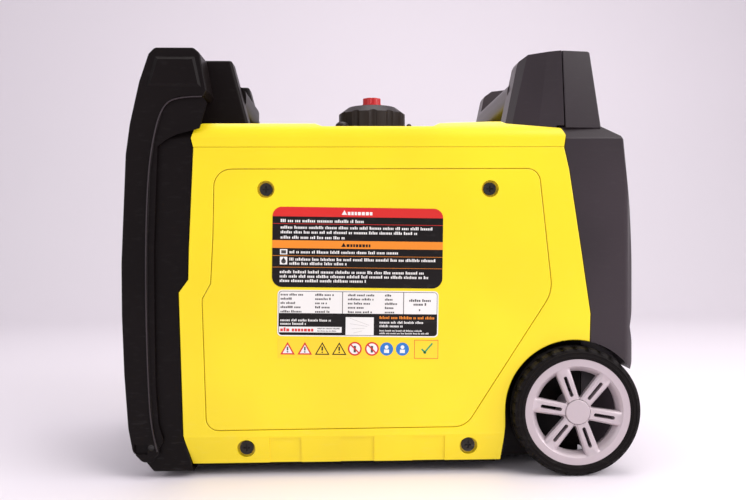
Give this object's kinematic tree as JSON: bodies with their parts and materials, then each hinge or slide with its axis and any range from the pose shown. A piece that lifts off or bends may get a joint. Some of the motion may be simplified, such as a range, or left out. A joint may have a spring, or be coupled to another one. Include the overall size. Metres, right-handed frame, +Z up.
{
  "type": "portable generator",
  "caption": "Wheeled inverter generator in a closed yellow and black housing, with a fold-out pull handle, carry handles, side service panel and fuel cap on top.",
  "frame": {"origin": "centre of the bounding box's bottom face, on the floor under the machine", "axes": "+X along the length towards the wheels and the exhaust, +Y across towards the recoil starter side, +Z up; the control panel and pull handle are at -X and the service panel faces -Y"},
  "size_m": [0.6, 0.3256, 0.4978],
  "materials": {
    "yellow_plastic": "satin",
    "black_plastic": "fine grain",
    "grey_plastic": "silver paint",
    "red_plastic": "satin",
    "label_film": "printed film",
    "lamp_plastic": "clear",
    "tyre_rubber": "matte",
    "rubber": "matte",
    "steel": "zinc plated",
    "black_steel": "black oxide",
    "aluminium": "as cast",
    "iron": "as cast",
    "tank_plastic": "moulded",
    "rope_fibre": "braided"
  },
  "bodies": {
    "generator_body": {"base_tray": "black_plastic", "wheel_arch_liners": "black_plastic", "left_side_cover": "yellow_plastic", "right_side_cover": "yellow_plastic", "skirt_screws": "black_steel", "top_cover": "yellow_plastic", "front_end_cover": "black_plastic", "rear_end_cover": "black_plastic", "front_carry_handle": "black_plastic", "rear_carry_handle": "black_plastic", "pivot_pins_and_clips": "steel", "rubber_feet_and_mounts": "rubber", "axle": "steel", "fuel_tank": "tank_plastic", "filler_neck": "steel", "cap_tether": "black_plastic", "crankcase": "aluminium", "cylinder": "iron", "cylinder_head": "aluminium", "spark_plug": "rubber", "carburettor": "aluminium", "air_filter_box": "black_plastic", "muffler": "black_steel", "exhaust_outlet": "steel", "stator": "iron", "recoil_housing": "black_plastic", "inverter_module": "aluminium", "control_panel": "black_plastic", "outlets": "black_plastic", "indicator_lamps": "lamp_plastic", "earth_terminal": "steel"},
    "left_wheel": {"left_tyre": "tyre_rubber", "left_rim": "grey_plastic", "left_hub_cap": "grey_plastic", "left_wheel_bush": "black_plastic"},
    "right_wheel": {"right_tyre": "tyre_rubber", "right_rim": "grey_plastic", "right_hub_cap": "grey_plastic", "right_wheel_bush": "black_plastic"},
    "pull_handle": {"pull_handle_left_arm": "black_plastic", "pull_handle_right_arm": "black_plastic", "pull_handle_grip": "black_plastic"},
    "service_panel": {"service_panel": "yellow_plastic", "service_panel_screws": "black_steel", "label_plates": "label_film"},
    "fuel_cap_seat": {"fuel_cap_seat": "black_plastic"},
    "fuel_cap": {"fuel_cap": "black_plastic"},
    "vent_knob": {"vent_knob": "red_plastic"},
    "left_socket_lid": {"left_socket_lid": "grey_plastic"},
    "right_socket_lid": {"right_socket_lid": "grey_plastic"},
    "engine_switch_knob": {"engine_switch_knob": "red_plastic"},
    "start_button": {"start_button": "red_plastic"},
    "breaker_button": {"breaker_button": "grey_plastic"},
    "eco_rocker": {"eco_rocker": "black_plastic"},
    "recoil_grip": {"recoil_grip": "black_plastic", "recoil_rope": "rope_fibre"},
    "recoil_pulley": {"recoil_pulley": "black_plastic"},
    "crankshaft": {"crankshaft": "steel", "flywheel": "iron"},
    "oil_dipstick": {"oil_dipstick": "black_plastic"}
  },
  "joints": [
    {"name": "left_wheel_spin", "type": "hinge", "parent": "generator_body", "child": "left_wheel", "pos_m": [0.225, -0.144, 0.075], "axis": [0, 1, 0], "continuous": true},
    {"name": "right_wheel_spin", "type": "hinge", "parent": "generator_body", "child": "right_wheel", "pos_m": [0.225, 0.144, 0.075], "axis": [0, 1, 0], "continuous": true},
    {"name": "pull_handle_fold", "type": "hinge", "parent": "generator_body", "child": "pull_handle", "pos_m": [-0.268, 0, 0.038], "axis": [0, -1, 0], "range_deg": [0, 90]},
    {"name": "service_panel_lift_off", "type": "slide", "parent": "generator_body", "child": "service_panel", "axis": [0, -1, 0], "range_m": [0, 0.06]},
    {"name": "fuel_cap_lift", "type": "slide", "parent": "generator_body", "child": "fuel_cap_seat", "axis": [0, 0, 1], "range_m": [0, 0.06]},
    {"name": "fuel_cap_turn", "type": "hinge", "parent": "fuel_cap_seat", "child": "fuel_cap", "pos_m": [-0.007, 0, 0.43], "axis": [0, 0, 1], "range_deg": [0, 180]},
    {"name": "vent_knob_turn", "type": "hinge", "parent": "fuel_cap", "child": "vent_knob", "pos_m": [-0.007, 0, 0.455], "axis": [0, 0, 1], "range_deg": [0, 90]},
    {"name": "left_socket_lid_swing", "type": "hinge", "parent": "generator_body", "child": "left_socket_lid", "pos_m": [-0.2722, -0.05, 0.221], "axis": [0, 1, 0], "range_deg": [0, 110], "stiffness_Nm_per_rad": 0.01, "springref_deg": -17.19},
    {"name": "right_socket_lid_swing", "type": "hinge", "parent": "generator_body", "child": "right_socket_lid", "pos_m": [-0.2722, 0.05, 0.221], "axis": [0, 1, 0], "range_deg": [0, 110], "stiffness_Nm_per_rad": 0.01, "springref_deg": -17.19},
    {"name": "engine_switch_turn", "type": "hinge", "parent": "generator_body", "child": "engine_switch_knob", "pos_m": [-0.263, 0.062, 0.33], "axis": [1, 0, 0], "range_deg": [0, 90]},
    {"name": "start_button_press", "type": "slide", "parent": "generator_body", "child": "start_button", "axis": [1, 0, 0], "range_m": [0, 0.003], "stiffness_N_per_m": 400, "springref_m": -0.003},
    {"name": "breaker_button_press", "type": "slide", "parent": "generator_body", "child": "breaker_button", "axis": [1, 0, 0], "range_m": [0, 0.003], "stiffness_N_per_m": 400, "springref_m": -0.003},
    {"name": "eco_rocker_tilt", "type": "hinge", "parent": "generator_body", "child": "eco_rocker", "pos_m": [-0.261, 0.008, 0.3], "axis": [0, 1, 0], "range_deg": [-6, 6]},
    {"name": "recoil_pull", "type": "slide", "parent": "generator_body", "child": "recoil_grip", "axis": [0, 1, 0], "range_m": [0, 0.18], "stiffness_N_per_m": 30, "springref_m": -0.1},
    {"name": "recoil_pulley_turn", "type": "hinge", "parent": "generator_body", "child": "recoil_pulley", "pos_m": [-0.175, 0, 0.12], "axis": [-1, 0, 0], "range_deg": [0, 275]},
    {"name": "crankshaft_spin", "type": "hinge", "parent": "generator_body", "child": "crankshaft", "pos_m": [-0.1, 0, 0.12], "axis": [1, 0, 0], "continuous": true},
    {"name": "oil_dipstick_turn", "type": "hinge", "parent": "generator_body", "child": "oil_dipstick", "pos_m": [0.055, -0.084, 0.085], "axis": [0, -1, 0], "range_deg": [0, 360]}
  ],
  "couplings": [
    {"joint": "recoil_pulley_turn", "follows": "recoil_pull", "rad_per_m": 26.316}
  ]
}
